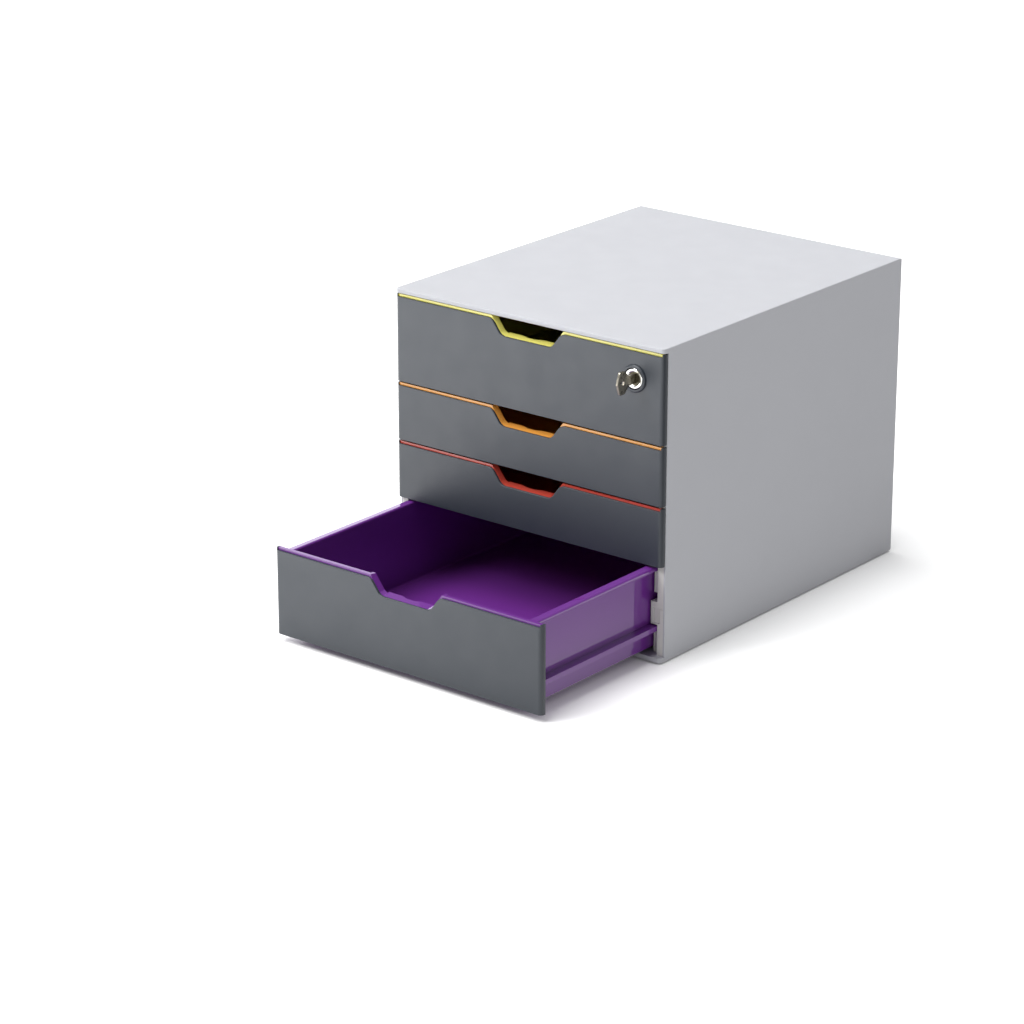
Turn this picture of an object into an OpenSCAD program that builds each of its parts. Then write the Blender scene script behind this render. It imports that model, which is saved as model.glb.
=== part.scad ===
// Desktop file drawer: a moulded housing with four sliding drawers, the top one with a cam lock.
// The origin is on the desk, at the centre of the housing's footprint. +Z is up, the fronts
// face -Y, and +X is to the right of someone who faces them. All sizes are in millimetres.

/* [Housing] */
// Width over the shell's side walls
housing_w = 292; // [280:1:320]
// Depth from the faces of the closed fronts to the rear panel
housing_d = 356; // [345:1:400]
// Height from the desk to the top
housing_h = 280; // [265:1:320]
// Thickness of the shell's side walls
shell_side_t = 1.6; // [1.2:0.1:2.4]
// Thickness of the shell's top
shell_top_t = 2.6; // [1.8:0.1:3.4]
// Height of the lip along the front of the top
top_lip_h = 4.2; // [3.6:0.1:6]
// Depth of that lip, front to back
top_lip_d = 4; // [2:0.5:5]
// Radius of the front corners of the top and of the base, seen from above
lip_corner_r = 4; // [1:0.5:5]
// Thickness of the base at its rim and its front lip
base_t = 4.4; // [3.6:0.1:6]
// Thickness of the floor inside the base's rim
base_floor_t = 2.4; // [1.6:0.1:3]
// Width of the rim under the base
base_rim_w = 9; // [6:0.5:14]
// Width of the stiffening ribs under the base
base_rib_w = 2.4; // [1.6:0.2:4]
// Gap between a stiffening rib and the plane of the base's rim
base_rib_rise = 0.8; // [0.4:0.1:1.2]
// Thickness of the rear panel
rear_t = 2.4; // [2:0.1:3]

/* [Rows] */
// Row units that each drawer takes, from the top drawer down
row_units = [3, 2, 2, 3]; // [2:1:4]
// How far each drawer stands open, from the top drawer down
drawer_open = [0, 0, 0, 161]; // [0:1:250]
// Full travel of a drawer to its stops
drawer_travel = 250; // [200:5:260]
// Gap between a drawer's rim and the front above it
row_gap = 2; // [1.4:0.1:3]
// Gap between the top drawer's rim and the lip of the top
top_gap = 0.9; // [0.6:0.1:2]
// Gap between the base and the lowest front
base_gap = 1.1; // [0.6:0.1:2]
// Gap between a closed front and the edges of the housing behind it
shut_gap = 0.5; // [0.3:0.1:1.2]

/* [Fronts] */
// Thickness of a front's plate
plate_t = 2; // [1.6:0.1:2.6]
// Depth of a front together with the tray wall that it holds
front_d = 5.3; // [4.8:0.1:6.5]
// Thickness of a front's end cheeks
cheek_t = 2.2; // [1.6:0.1:3]
// Thickness of the return along a front's bottom edge
return_t = 2; // [1.4:0.1:3]
// Radius of a front's upright outer edges
front_edge_r = 4.2; // [1:0.2:4.6]
// How much narrower a front is than the housing, at each side
front_inset = 0.3; // [0.1:0.1:1]
// How far the coloured wall rises above the plate
rim_rise = 2.2; // [1.6:0.1:3]
// Width of the finger cutout at the plate's top edge
cut_top_w = 75; // [66:1:90]
// Width of the finger cutout at its bottom
cut_bottom_w = 54; // [40:1:60]
// Depth of the finger cutout below the plate's top edge
cut_depth = 14; // [10:0.5:18]
// Radius of the finger cutout's corners
cut_corner_r = 8; // [2:0.5:9]

/* [Trays] */
// Wall of a tray
tray_t = 2.2; // [1.8:0.1:2.8]
// Height of a tray's underside above its front's bottom edge
tray_rise = 2.4; // [2.2:0.1:4]
// Gap between a tray's sides and the lands that it slides between
tray_side_gap = 1.5; // [0.8:0.1:2.5]
// Gap between a closed tray and the rear panel
tray_rear_gap = 8; // [5:0.5:14]
// Outer radius along a tray's bottom edges
tray_edge_r = 3; // [1:0.5:4]
// Inner radius along a tray's bottom edges
tray_fillet_r = 2; // [0.5:0.5:4]
// Thickness of a rail
rail_t = 4.8; // [4:0.1:5.4]
// Radius of the long edges of a rail
rail_edge_r = 0.6; // [0.2:0.1:1]
// Radius of the rounded bead along a tray's top edges
bead_edge_r = 1.9; // [1:0.1:2]
// How far the bead across a tray's rear wall stands out
rear_bead_d = 3.5; // [2:0.5:4.5]
// Length of the stop lug at the rear end of a rail
lug_len = 8; // [5:0.5:12]
// Height of the stop lug
lug_h = 3; // [2:0.2:3.6]
// How far the stop lug stands out of its rail
lug_d = 2.2; // [1.6:0.1:2.8]
// Wall of the coloured collar around the finger cutout
collar_t = 2; // [1.6:0.1:2.6]
// Depth of the collar's slanted sides, from the front's face
collar_d = 8; // [6.5:0.5:10]
// Depth of the ledge at the collar's bottom near its ends, from the front's face
ledge_d = 12.5; // [11:0.5:16]
// Depth of the ledge at its middle, where it is scalloped
ledge_mid_d = 7.8; // [7:0.1:10]
// Width of the scallop
scallop_w = 26; // [18:1:36]

/* [Liners] */
// Thickness of a liner, from the shell to its lands
liner_d = 13.1; // [12:0.1:16]
// Depth of the grooves in a liner
groove_d = 7; // [6:0.1:8]
// Height of the grooves
groove_h = 6.4; // [6:0.1:7.5]
// Gap between a tray's rim and the top of the groove that its bead runs in
groove_top_gap = 1.6; // [1.2:0.1:2]
// Wall of the liners
liner_t = 2; // [1.5:0.1:2.4]
// Depth of the solid frame at a liner's front and rear edges
liner_frame_d = 8; // [6:0.5:12]
// How far the lands that are not above a rail stand back from the front edge
land_setback = 5; // [2:0.5:6]
// Height of the seam between the liners above the lowest groove
seam_rise = 14.9; // [12:0.1:17]
// Distance of the upper liner's tongue from the face of the land that it stands in
tongue_inset = 3.3; // [2.6:0.1:4]
// Width of the tongue
tongue_w = 5.6; // [4:0.2:6]
// Length of the tongue below the seam
tongue_len = 13; // [8:0.5:13.2]
// Thickness of the tongue
tongue_t = 1.6; // [1:0.1:2]
// How far the tongue lies below the liner's front face
tongue_recess = 0.6; // [0.3:0.1:1]
// Gap around the tongue
tongue_gap = 0.3; // [0.2:0.1:0.5]

/* [Running gaps] */
// Gap under a rail in its groove
rail_gap = 0.3; // [0.2:0.1:0.6]
// Gap between a rail's edge and the groove's floor
rail_side_gap = 0.4; // [0.3:0.1:0.8]
// Gap under a bead in its groove
bead_gap = 0.7; // [0.4:0.1:1]
// How much less the beads stand out than the rails
bead_inset = 0.9; // [0.4:0.1:2]
// Gap around the stop lug in its slot
lug_gap = 0.5; // [0.3:0.1:0.8]

/* [Feet and screws] */
// Height of the desk gap under the base
foot_h = 1.4; // [1:0.1:3]
// Radius of a foot pad
foot_r = 8; // [5:0.5:12]
// Inset of a foot pad's centre from the housing's sides
foot_inset_x = 28; // [20:1:50]
// Inset of a foot pad's centre from the housing's front and rear
foot_inset_y = 30; // [22:1:60]
// Radius of a screw's shank
screw_r = 1.5; // [1:0.1:1.8]
// Radius of a screw's head
screw_head_r = 3; // [2.2:0.1:3.1]
// Thickness of a screw's head
screw_head_t = 1.2; // [0.8:0.1:1.4]
// Length of a screw's shank
screw_len = 8; // [5:0.5:9]
// Gap around a screw
screw_gap = 0.15; // [0.1:0.05:0.3]
// Width of the slot in a screw's head
screw_slot_w = 0.8; // [0.5:0.1:1]
// Depth of the slot in a screw's head
screw_slot_d = 0.6; // [0.3:0.1:0.7]

/* [Lock] */
// Distance of the lock's axis from the right edge of its front
lock_inset_x = 30.2; // [28:0.2:33]
// Distance of the lock's axis below the top edge of its plate
lock_drop = 23.2; // [20:0.2:26]
// Outer radius of the raised collar around the lock
boss_r = 12.1; // [11:0.1:13]
// How far the collar stands proud of the plate
boss_h = 2; // [1.4:0.1:2.6]
// Radius of the collar's outer edge
boss_edge_r = 1.5; // [0.6:0.1:1.6]
// Radius of the lock's bright bezel
bezel_r = 9.4; // [9:0.1:9.8]
// How far the bezel stands proud of the plate
bezel_t = 1.6; // [1.2:0.1:2.2]
// Radius of the bezel's dish at its mouth
dish_r = 8.3; // [7.2:0.1:8.6]
// Radius of the bezel's dish at its bottom
dish_bottom_r = 6.3; // [6.1:0.1:6.8]
// Depth of the dish
dish_depth = 1.3; // [0.8:0.1:1.5]
// Outer radius of the lock's barrel
barrel_r = 8; // [7.4:0.1:8.4]
// Length of the barrel behind the plate's face
barrel_len = 20; // [17:0.5:24]
// Radius of the plug
plug_r = 5.6; // [5.2:0.1:5.8]
// Running gap around the plug
plug_gap = 0.05; // [0.03:0.01:0.09]
// Gap between the barrel and the holes that it passes through
barrel_gap = 0.1; // [0.05:0.05:0.3]
// Gap between the bezel and the collar around it
bezel_gap = 0.2; // [0.1:0.05:0.4]
// Width of the nut across its flats
nut_w = 20; // [18.6:0.2:22]
// Thickness of the nut
nut_t = 3.2; // [2.4:0.1:4]
// Depth of the keyway behind the plate's face
keyway_len = 13; // [11:0.5:13.5]
// Gap around the key's blade
key_gap = 0.15; // [0.1:0.05:0.25]
// Reach of the cam from the lock's axis
cam_reach = 22; // [20.5:0.1:22.4]
// Width of the cam
cam_w = 9; // [7:0.2:10]
// Thickness of the cam
cam_t = 2; // [1.4:0.1:2.5]
// Gap between the barrel's rear end and the cam
cam_gap = 0.5; // [0.3:0.1:0.8]
// Gap between the cam and the slots that it turns into
strike_gap = 0.9; // [0.6:0.1:1.4]
// Radius of the cam's screw
cam_screw_r = 1.9; // [1.4:0.1:2.2]
// Length of the cam's screw in the plug
cam_screw_len = 6; // [4:0.5:6.5]
// Radius of the head of the cam's screw
cam_screw_head_r = 4; // [3:0.1:4.2]
// Thickness of the head of the cam's screw
cam_screw_head_t = 2; // [1.4:0.1:2.6]

/* [Key] */
// Thickness of the key
key_t = 2; // [1.6:0.1:2.2]
// Height of the blade
blade_h = 6.8; // [6:0.1:7.2]
// Height of the neck between the bow and the plug
neck_h = 8.6; // [7.6:0.1:9]
// Distance of the bow's inner end from the plate's face
neck_len = 9; // [7:0.5:12]
// Height of the bow
bow_h = 20; // [17:0.5:24]
// Length of the bow
bow_len = 15.5; // [13:0.5:18]
// How far the middle of the bow's outer edge stands out from its corners
bow_point = 3.4; // [2:0.1:4.5]
// Length of the bow's flat top and bottom edges
bow_flat = 6.5; // [5:0.1:8]
// Radius of the bow's corners
bow_corner_r = 2; // [0.5:0.1:2.4]
// Radius of the hole for a key ring
ring_hole_r = 1.9; // [1.5:0.1:2.2]
// Distance of that hole's centre from the bow's outer edge
ring_hole_inset = 7.6; // [6:0.1:9]

/* [Hidden] */
// Overrun of a cut past the face that it opens
over = 1;
// Smoothness of true rounds, and steps along a drawn corner
$fn = 64;
corner_steps = 6;
scallop_steps = 16;
screw_height_shares = [0.1, 0.5, 0.9];

light_grey = "#d6d7da";
warm_grey = "#c4c3bf";
graphite = "#5f646b";
yellow = "#e6df6b";
orange = "#dd9a45";
red = "#c4453c";
purple = "#6d2e96";
chrome = "#d9d9d6";
steel = "#a9a9a6";
rubber = "#2b2b2b";

// Heights, from the desk up
base_top_z = foot_h + base_t;
lip_z = housing_h - top_lip_h;
liner_top_z = housing_h - shell_top_t;
function units_below(i) = i >= len(row_units) - 1 ? 0 : row_units[i + 1] + units_below(i + 1);
groove_count = units_below(-1);
row_pitch = (lip_z - top_gap + row_gap - base_gap - base_top_z) / groove_count;
function front_z(i) = base_top_z + base_gap + row_pitch * units_below(i);
function front_h(i) = row_pitch * row_units[i] - rim_rise - row_gap;
function plate_top_z(i) = front_z(i) + front_h(i);
function rim_z(i) = plate_top_z(i) + rim_rise;
function groove_z(k) = base_top_z + base_gap + row_pitch * (k + 1) - row_gap
    + groove_top_gap - groove_h;
seam_z = groove_z(0) + groove_h + seam_rise;
rail_rows = [for (i = [0 : len(row_units) - 1]) units_below(i)];

// Depths, from the fronts' faces back
face_y = -housing_d / 2;
rear_y = housing_d / 2;
plate_back_y = face_y + plate_t;
front_back_y = face_y + front_d;
edge_y = front_back_y + shut_gap;
rear_inner_y = rear_y - rear_t;
tray_rear_y = rear_inner_y - tray_rear_gap;

// Half widths, from the shell inwards
side_x = housing_w / 2;
liner_x = side_x - shell_side_t;
land_x = liner_x - liner_d;
groove_x = land_x + groove_d;
front_x = side_x - front_inset;
pan_x = front_x - cheek_t;
tray_x = land_x - tray_side_gap;
rail_x = groove_x - rail_side_gap;
bead_x = rail_x - bead_inset;

// The lock's axis and the planes of its pieces
lock_x = front_x - lock_inset_x;
lock_z = plate_top_z(0) - lock_drop;
barrel_rear_y = face_y + barrel_len;
dish_y = face_y - bezel_t + dish_depth;
cam_y = barrel_rear_y + cam_gap;
strike_y0 = cam_y - strike_gap;
strike_y1 = cam_y + cam_t + strike_gap;
neck_y = dish_y - key_gap;
blade_tip_y = face_y + keyway_len - key_gap;
bow_y = face_y - neck_len;

// Points of an outline with one radius at each corner; a radius of zero keeps the corner sharp
function unit_vector(v) = v / norm(v);
function turn(a) = a > 180 ? a - 360 : a < -180 ? a + 360 : a;
function corner(a, p, b, r) =
    let (u = unit_vector(a - p), w = unit_vector(b - p), half = acos(u * w) / 2,
        c = p + unit_vector(u + w) * r / sin(half),
        s = p + u * r / tan(half) - c, e = p + w * r / tan(half) - c,
        a0 = atan2(s[1], s[0]), sweep = turn(atan2(e[1], e[0]) - a0))
    [for (i = [0 : corner_steps])
        c + r * [cos(a0 + sweep * i / corner_steps), sin(a0 + sweep * i / corner_steps)]];
function rounded(points, radii) =
    let (n = len(points))
    [for (i = [0 : n - 1])
        each (radii[i] == 0 ? [points[i]]
            : corner(points[(i + n - 1) % n], points[i], points[(i + 1) % n], radii[i]))];

// A flat outline in X and Z, carried along Y
module along_y(y0, y1) {
    translate([0, y1, 0]) rotate([90, 0, 0]) linear_extrude(y1 - y0) children();
}

// A box between two opposite corners
module box(low, high) {
    translate(low) cube(high - low);
}

// A round bar or bore along Y, on an axis at x and z
module round_y(r, y0, y1, x, z) {
    translate([x, y1, z]) rotate([90, 0, 0]) cylinder(r = r, h = y1 - y0);
}

module both_sides() {
    children();
    mirror([1, 0, 0]) children();
}

// The drawer pieces of row i, pulled out as far as that drawer stands open
module in_drawer(i) {
    translate([0, -drawer_open[i], 0]) children();
}

// Outline of the top and the base, seen from above, with rounded front corners
module footprint(half_w, back_y) {
    polygon(rounded([[-half_w, face_y], [half_w, face_y], [half_w, back_y], [-half_w, back_y]],
        [lip_corner_r, lip_corner_r, 0, 0]));
}

// Housing

// Top and sides in one moulding, with a lip over the fronts
module housing_shell() {
    color(light_grey) {
        translate([0, 0, housing_h - shell_top_t])
            linear_extrude(shell_top_t) footprint(side_x, rear_y);
        translate([0, 0, lip_z]) linear_extrude(top_lip_h) intersection() {
            footprint(side_x, rear_y);
            translate([-side_x, face_y]) square([2 * side_x, top_lip_d]);
        }
        both_sides() box([liner_x, edge_y, foot_h], [side_x, rear_y, housing_h]);
    }
}

// Base with a front lip, hollowed from below inside a flat rim
module base_plate() {
    color(light_grey) difference() {
        union() {
            translate([0, 0, foot_h]) linear_extrude(base_t) intersection() {
                footprint(side_x, rear_y);
                translate([-side_x, face_y]) square([2 * side_x, edge_y - face_y]);
            }
            box([-liner_x, edge_y, foot_h], [liner_x, rear_inner_y, base_top_z]);
        }
        difference() {
            box([-liner_x + base_rim_w, edge_y + base_rim_w, foot_h - over],
                [liner_x - base_rim_w, rear_inner_y - base_rim_w, base_top_z - base_floor_t]);
            for (share = [-1, 0, 1]) translate([share * liner_x / 3, 0, 0])
                box([-base_rib_w / 2, face_y, foot_h + base_rib_rise],
                    [base_rib_w / 2, rear_y, base_top_z]);
        }
    }
}

function screw_z(share) = foot_h + share * (liner_top_z - foot_h);
screw_x = (groove_x + liner_x) / 2;

module at_screws() {
    for (side = [-1, 1], share = screw_height_shares)
        translate([side * screw_x, 0, screw_z(share)]) children();
}

// Panel between the shell's rear edges, with sunk screw heads
module rear_panel() {
    color(light_grey) difference() {
        box([-liner_x, rear_inner_y, foot_h], [liner_x, rear_y, liner_top_z]);
        at_screws() {
            round_y(screw_r + screw_gap, rear_inner_y - over, rear_y + over, 0, 0);
            round_y(screw_head_r + screw_gap, rear_y - screw_head_t, rear_y + over, 0, 0);
        }
    }
}

// Screws that hold the rear panel to the liners
module rear_screws() {
    color(steel) at_screws() difference() {
        union() {
            round_y(screw_head_r, rear_y - screw_head_t, rear_y, 0, 0);
            round_y(screw_r, rear_y - screw_len, rear_y - screw_head_t, 0, 0);
        }
        box([-screw_head_r - over, rear_y - screw_slot_d, -screw_slot_w / 2],
            [screw_head_r + over, rear_y + over, screw_slot_w / 2]);
    }
}

// Land k lies under groove k; the lands above a rail reach the front edge
function land_z0(k, z0) = max(z0, k == 0 ? z0 : groove_z(k - 1) + groove_h);
function land_z1(k, z1) = min(z1, groove_z(k));
function above_rail(k) = len([for (r = rail_rows) if (r == k - 1) r]) > 0;

// Side frame with grooves for the rails, between heights z0 and z1, on the right-hand side
module liner(z0, z1) {
    frame_y0 = edge_y + liner_frame_d;
    frame_y1 = rear_inner_y - liner_frame_d;
    difference() {
        box([land_x, edge_y, z0], [liner_x, rear_inner_y, z1]);
        for (k = [0 : groove_count - 1]) if (groove_z(k) > z0 && groove_z(k) < z1)
            box([land_x - over, edge_y - over, groove_z(k)],
                [groove_x, rear_inner_y + over,
                    k == groove_count - 1 ? z1 + over : groove_z(k) + groove_h]);
        box([groove_x + liner_t, frame_y0, z0 + liner_t], [liner_x + over, frame_y1, z1 - liner_t]);
        for (k = [0 : groove_count - 1]) {
            low = land_z0(k, z0);
            high = land_z1(k, z1);
            if (high - low > 4 * liner_t)
                box([land_x + liner_t, frame_y0, low + liner_t],
                    [groove_x + 2 * liner_t, frame_y1, high - liner_t]);
            if (high > low && !above_rail(k))
                box([land_x - over, edge_y - over, low - (k == 0 ? 0 : groove_h / 2)],
                    [groove_x, edge_y + land_setback, high + groove_h / 2]);
        }
        for (k = rail_rows) if (groove_z(k) > z0 && groove_z(k) < z1)
            box([groove_x - over, lug_stop_y - lug_gap, lug_z(k) - lug_gap],
                [groove_x + 2 * liner_t, tray_rear_y + lug_gap, lug_z(k) + lug_h + lug_gap]);
        for (share = screw_height_shares) if (screw_z(share) > z0 && screw_z(share) < z1)
            round_y(screw_r + screw_gap, rear_y - screw_len - screw_gap, rear_inner_y + over,
                screw_x, screw_z(share));
    }
}

// The stop lug's place in groove k, and where its front face meets the stop
function lug_z(k) = groove_z(k) + rail_gap + (rail_t - lug_h) / 2;
lug_stop_y = tray_rear_y - lug_len - drawer_travel;

// The tongue of the upper liner and its pocket in the lower one
module tongue(gap, y0, y1, z1) {
    x = land_x + tongue_inset;
    box([x - gap, y0, seam_z - tongue_len - gap], [x + tongue_w + gap, y1, z1]);
}

module liner_lower() {
    color(warm_grey) difference() {
        liner(base_top_z, seam_z);
        tongue(tongue_gap, edge_y - over, edge_y + tongue_recess + tongue_t + tongue_gap,
            seam_z + over);
    }
}

module liner_upper(locked_side) {
    color(warm_grey) {
        difference() {
            liner(seam_z, liner_top_z);
            if (locked_side) cam_window(land_x, groove_x);
        }
        tongue(0, edge_y + tongue_recess, edge_y + tongue_recess + tongue_t, seam_z);
    }
}

module liner_lower_right() { liner_lower(); }
module liner_lower_left() { mirror([1, 0, 0]) liner_lower(); }
module liner_upper_right() { liner_upper(true); }
module liner_upper_left() { mirror([1, 0, 0]) liner_upper(false); }

// Rubber pad under a corner of the base
module foot(side, end) {
    color(rubber)
        translate([side * (side_x - foot_inset_x), end * (rear_y - foot_inset_y), 0])
            cylinder(r = foot_r, h = base_top_z - base_floor_t);
}

module foot_front_left() { foot(-1, -1); }
module foot_front_right() { foot(1, -1); }
module foot_rear_left() { foot(-1, 1); }
module foot_rear_right() { foot(1, 1); }

// Drawers

cut_slope = (cut_top_w - cut_bottom_w) / (2 * cut_depth);
function cut_half_w(above_bottom) = cut_bottom_w / 2 + cut_slope * above_bottom;

// Outline of a front's plate or wall, with the finger cutout in its top edge
module cut_outline(half_w, z0, z1, cut_z) {
    top_half = cut_half_w(z1 - cut_z);
    bottom_half = cut_half_w(0);
    polygon(rounded([[-half_w, z0], [half_w, z0], [half_w, z1], [top_half, z1],
            [bottom_half, cut_z], [-bottom_half, cut_z], [-top_half, z1], [-half_w, z1]],
        [0, 0, 0, cut_corner_r, cut_corner_r, cut_corner_r, cut_corner_r, 0]));
}

function cut_z(i) = plate_top_z(i) - cut_depth;

// The coloured band that lines the cutout, as thick as the collar
module collar_outline(i) {
    z0 = cut_z(i);
    z1 = rim_z(i);
    slant = sqrt(1 + cut_slope * cut_slope);
    outer_bottom = cut_half_w(0) + collar_t * (slant - cut_slope);
    outer_top = cut_half_w(z1 - z0) + collar_t * slant;
    difference() {
        polygon(rounded([[-outer_bottom, z0 - collar_t], [outer_bottom, z0 - collar_t],
                [outer_top, z1], [-outer_top, z1]],
            [cut_corner_r + collar_t, cut_corner_r + collar_t, 0, 0]));
        polygon(rounded([[-cut_half_w(0), z0], [cut_half_w(0), z0],
                [cut_half_w(z1 - z0 + over), z1 + over], [-cut_half_w(z1 - z0 + over), z1 + over]],
            [cut_corner_r, cut_corner_r, 0, 0]));
    }
}

// Rear edge of the ledge, seen from above: scalloped in the middle
function ledge_y(x) = face_y + ledge_d
    - (abs(x) < scallop_w / 2 ? (ledge_d - ledge_mid_d) * (1 + cos(360 * x / scallop_w)) / 2 : 0);
module ledge_outline() {
    half = cut_half_w(0) - collar_t;
    polygon(concat([[-half, plate_back_y], [half, plate_back_y], [half, ledge_y(half)]],
        [for (i = [0 : scallop_steps])
            let (x = scallop_w * (1 / 2 - i / scallop_steps)) [x, ledge_y(x)]],
        [[-half, ledge_y(half)]]));
}

// Walls and floor of a tray in cross section, from side to side
module tray_section(i) {
    z0 = front_z(i) + tray_rise;
    z1 = rim_z(i);
    inner = tray_x - tray_t;
    polygon(rounded([[-tray_x, z0], [tray_x, z0], [tray_x, z1], [inner, z1],
            [inner, z0 + tray_t], [-inner, z0 + tray_t], [-inner, z1], [-tray_x, z1]],
        [tray_edge_r, tray_edge_r, 0, 0, tray_fillet_r, tray_fillet_r, 0, 0]));
}

// The bead along a tray's top edge runs in the groove at that height
function bead_z(i) = groove_z(units_below(i) + row_units[i] - 1) + bead_gap;
module bead_section(i) {
    polygon(rounded([[tray_x - tray_t, bead_z(i)], [bead_x, bead_z(i)],
            [bead_x, rim_z(i)], [tray_x - tray_t, rim_z(i)]],
        [0, bead_edge_r, bead_edge_r, 0]));
}

module rail_section(i) {
    z0 = groove_z(units_below(i)) + rail_gap;
    polygon(rounded([[tray_x - tray_t / 2, z0], [rail_x, z0],
            [rail_x, z0 + rail_t], [tray_x - tray_t / 2, z0 + rail_t]],
        [0, rail_edge_r, rail_edge_r, 0]));
}

// Tray of row i: a box with rails and stop lugs, beads along its top, and a wall behind the front
module tray(i) {
    lug = lug_z(units_below(i));
    in_drawer(i) {
        difference() {
            union() {
                along_y(plate_back_y, front_back_y)
                    cut_outline(pan_x, front_z(i) + return_t, rim_z(i), cut_z(i));
                along_y(front_back_y, tray_rear_y) tray_section(i);
                box([-tray_x + tray_edge_r, tray_rear_y - tray_t, front_z(i) + tray_rise],
                    [tray_x - tray_edge_r, tray_rear_y, rim_z(i)]);
                box([-tray_x, tray_rear_y - tray_t, front_z(i) + tray_rise + tray_edge_r],
                    [tray_x, tray_rear_y, rim_z(i)]);
            }
            if (i == 0) {
                round_y(barrel_r + barrel_gap, plate_back_y - over, front_back_y + over,
                    lock_x, lock_z);
                cam_window(tray_x - tray_t, tray_x + over);
            }
        }
        both_sides() {
            along_y(front_back_y, tray_rear_y) bead_section(i);
            along_y(front_back_y, tray_rear_y) rail_section(i);
            box([rail_x - rail_edge_r, tray_rear_y - lug_len, lug],
                [rail_x + lug_d, tray_rear_y, lug + lug_h]);
        }
        box([-bead_x, tray_rear_y - tray_t, bead_z(i)], [bead_x, tray_rear_y + rear_bead_d, rim_z(i)]);
        along_y(plate_back_y, face_y + collar_d) collar_outline(i);
        translate([0, 0, cut_z(i) - collar_t]) linear_extrude(collar_t) ledge_outline();
    }
}

module tray_yellow() { color(yellow) tray(0); }
module tray_orange() { color(orange) tray(1); }
module tray_red() { color(red) tray(2); }
module tray_purple() { color(purple) tray(3); }

// Front of row i: a plate with round upright edges, end cheeks and a return along the bottom
module front(i) {
    in_drawer(i) {
        intersection() {
            translate([0, 0, front_z(i)]) linear_extrude(rim_z(i) - front_z(i))
                polygon(rounded([[-front_x, face_y], [front_x, face_y],
                        [front_x, front_back_y], [pan_x, front_back_y], [pan_x, plate_back_y],
                        [-pan_x, plate_back_y], [-pan_x, front_back_y], [-front_x, front_back_y]],
                    [front_edge_r, front_edge_r, 0, 0, 0, 0, 0, 0]));
            union() {
                along_y(face_y - over, front_back_y + over)
                    cut_outline(front_x, front_z(i), plate_top_z(i), cut_z(i));
                both_sides() box([pan_x, face_y - over, front_z(i)],
                    [front_x, front_back_y + over, rim_z(i)]);
            }
        }
        box([-pan_x, plate_back_y, front_z(i)], [pan_x, front_back_y, front_z(i) + return_t]);
    }
}

module front_upper_middle() { color(graphite) front(1); }
module front_lower_middle() { color(graphite) front(2); }
module front_bottom() { color(graphite) front(3); }

// Things that turn about the lock's axis
module on_lock_axis(y) {
    translate([lock_x, y, lock_z]) rotate([90, 0, 0]) children();
}

// Front with the lock: a raised collar frames the bezel
module front_top() {
    boss_inner_r = bezel_r + bezel_gap;
    color(graphite) {
        difference() {
            front(0);
            in_drawer(0) round_y(barrel_r + barrel_gap, face_y - over, plate_back_y + over,
                lock_x, lock_z);
        }
        in_drawer(0) on_lock_axis(face_y) rotate_extrude()
            polygon(rounded([[boss_inner_r, 0], [boss_r, 0], [boss_r, boss_h],
                    [boss_inner_r, boss_h]],
                [0, 0, boss_edge_r, 0]));
    }
}

// Lock

// Bezel and barrel in one piece, with the bore that the plug turns in
module lock_barrel() {
    color(chrome) in_drawer(0) difference() {
        union() {
            on_lock_axis(face_y) cylinder(r = bezel_r, h = bezel_t);
            round_y(barrel_r, face_y, barrel_rear_y, lock_x, lock_z);
        }
        round_y(plug_r + plug_gap, face_y - bezel_t - over, barrel_rear_y + over, lock_x, lock_z);
        on_lock_axis(dish_y) cylinder(r1 = dish_bottom_r, r2 = dish_r, h = dish_depth);
    }
}

// Nut that clamps the barrel from inside the tray
module lock_nut() {
    color(steel) in_drawer(0) difference() {
        translate([lock_x, front_back_y + nut_t, lock_z]) rotate([90, 30, 0])
            cylinder(d = nut_w / cos(30), h = nut_t, $fn = 6);
        round_y(barrel_r + barrel_gap, front_back_y - over, front_back_y + nut_t + over,
            lock_x, lock_z);
    }
}

// Plug with its keyway in front and the cam's screw hole behind
module lock_plug() {
    slot_x = key_t / 2 + key_gap;
    slot_z = blade_h / 2 + key_gap;
    color(chrome) in_drawer(0) difference() {
        round_y(plug_r, dish_y, cam_y, lock_x, lock_z);
        box([lock_x - slot_x, dish_y - over, lock_z - slot_z],
            [lock_x + slot_x, face_y + keyway_len, lock_z + slot_z]);
        round_y(cam_screw_r + screw_gap, cam_y - cam_screw_len, cam_y + over, lock_x, lock_z);
    }
}

// Cam, pointing down while unlocked
module lock_cam() {
    tip_z = lock_z - cam_reach + cam_w / 2;
    color(steel) in_drawer(0) difference() {
        union() {
            round_y(plug_r + cam_gap, cam_y, cam_y + cam_t, lock_x, lock_z);
            round_y(cam_w / 2, cam_y, cam_y + cam_t, lock_x, tip_z);
            box([lock_x - cam_w / 2, cam_y, tip_z], [lock_x + cam_w / 2, cam_y + cam_t, lock_z]);
        }
        round_y(cam_screw_r + screw_gap, cam_y - over, cam_y + cam_t + over, lock_x, lock_z);
    }
}

// Slot that the cam turns into, cut from x0 out to x1
module cam_window(x0, x1) {
    drop = sqrt(cam_reach * cam_reach - (x0 - lock_x) * (x0 - lock_x)) + strike_gap;
    box([x0 - over, strike_y0, lock_z - drop],
        [x1, strike_y1, lock_z + cam_w / 2 + strike_gap]);
}

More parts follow.
